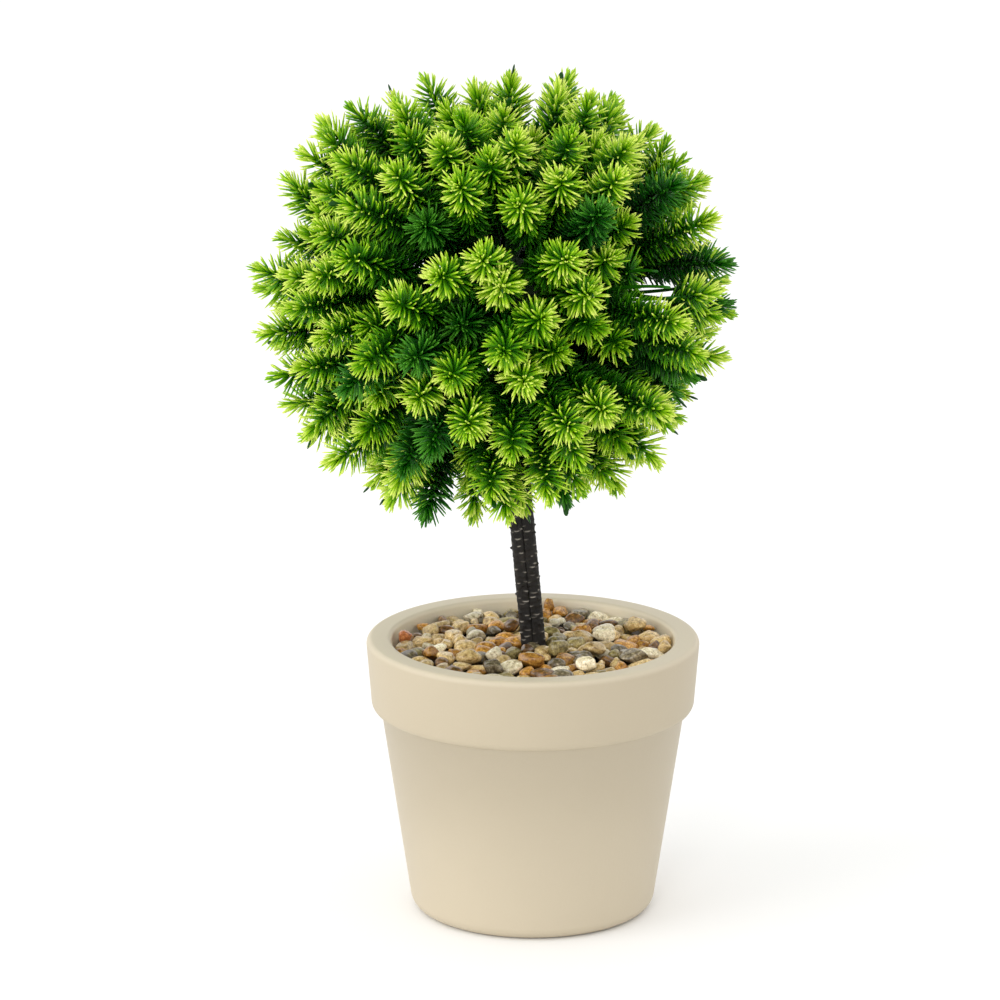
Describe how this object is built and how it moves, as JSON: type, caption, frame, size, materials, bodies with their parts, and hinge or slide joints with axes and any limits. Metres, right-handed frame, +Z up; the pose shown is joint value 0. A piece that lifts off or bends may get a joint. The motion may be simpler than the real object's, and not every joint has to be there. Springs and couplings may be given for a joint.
{
  "type": "artificial tabletop tree",
  "caption": "Ball of bushy plastic sprays on twin bark stems, set in a banded tapered pot under river pebbles.",
  "frame": {"origin": "centre of the pot's flat underside, on the pot's axis", "axes": "+Z up along the pot's axis; the stems lean towards -X; -Y is the side seen from the front"},
  "size_m": [0.1744, 0.1774, 0.3088],
  "materials": {
    "pot_ceramic": "smooth matte beige",
    "ballast_cement": "rough cast",
    "gravel": "mixed river gravel, varnished",
    "bark_plastic": "dark brown moulded bark",
    "core_wire": "drawn wire",
    "hub_plastic": "dark green moulded",
    "spray_plastic": "soft glossy, dark green to yellow-green at the needle tips",
    "pebble_sand": "varnished",
    "pebble_amber": "varnished",
    "pebble_umber": "varnished",
    "pebble_terracotta": "satin",
    "pebble_chalk": "varnished",
    "pebble_olive": "varnished",
    "pebble_slate": "varnished"
  },
  "bodies": {
    "root": {"pot": "pot_ceramic", "ballast_plug": "ballast_cement", "gravel_bed": "gravel", "pebble_01": "pebble_terracotta", "pebble_02": "pebble_amber", "pebble_03": "pebble_sand", "pebble_04": "pebble_chalk", "pebble_05": "pebble_slate", "pebble_06": "pebble_amber", "pebble_07": "pebble_umber", "pebble_08": "pebble_amber", "pebble_09": "pebble_chalk", "pebble_10": "pebble_sand", "pebble_11": "pebble_sand", "pebble_12": "pebble_olive", "pebble_13": "pebble_slate", "pebble_14": "pebble_sand", "pebble_15": "pebble_chalk", "pebble_16": "pebble_amber", "stem_bark_left": "bark_plastic", "stem_bark_right": "bark_plastic", "stem_wire_left": "core_wire", "stem_wire_right": "core_wire", "crown_hub": "hub_plastic", "spray_01": "spray_plastic", "spray_02": "spray_plastic", "spray_03": "spray_plastic", "spray_04": "spray_plastic", "spray_05": "spray_plastic", "spray_06": "spray_plastic", "spray_07": "spray_plastic", "spray_08": "spray_plastic", "spray_09": "spray_plastic", "spray_10": "spray_plastic", "spray_11": "spray_plastic", "spray_12": "spray_plastic", "spray_13": "spray_plastic", "spray_14": "spray_plastic", "spray_15": "spray_plastic", "spray_16": "spray_plastic", "spray_17": "spray_plastic", "spray_18": "spray_plastic", "spray_19": "spray_plastic", "spray_20": "spray_plastic", "spray_21": "spray_plastic", "spray_22": "spray_plastic", "spray_23": "spray_plastic", "spray_24": "spray_plastic", "spray_25": "spray_plastic", "spray_26": "spray_plastic", "spray_27": "spray_plastic", "spray_28": "spray_plastic", "spray_29": "spray_plastic", "spray_30": "spray_plastic", "spray_31": "spray_plastic", "spray_32": "spray_plastic", "spray_33": "spray_plastic", "spray_34": "spray_plastic", "spray_35": "spray_plastic", "spray_36": "spray_plastic"}
  },
  "joints": []
}
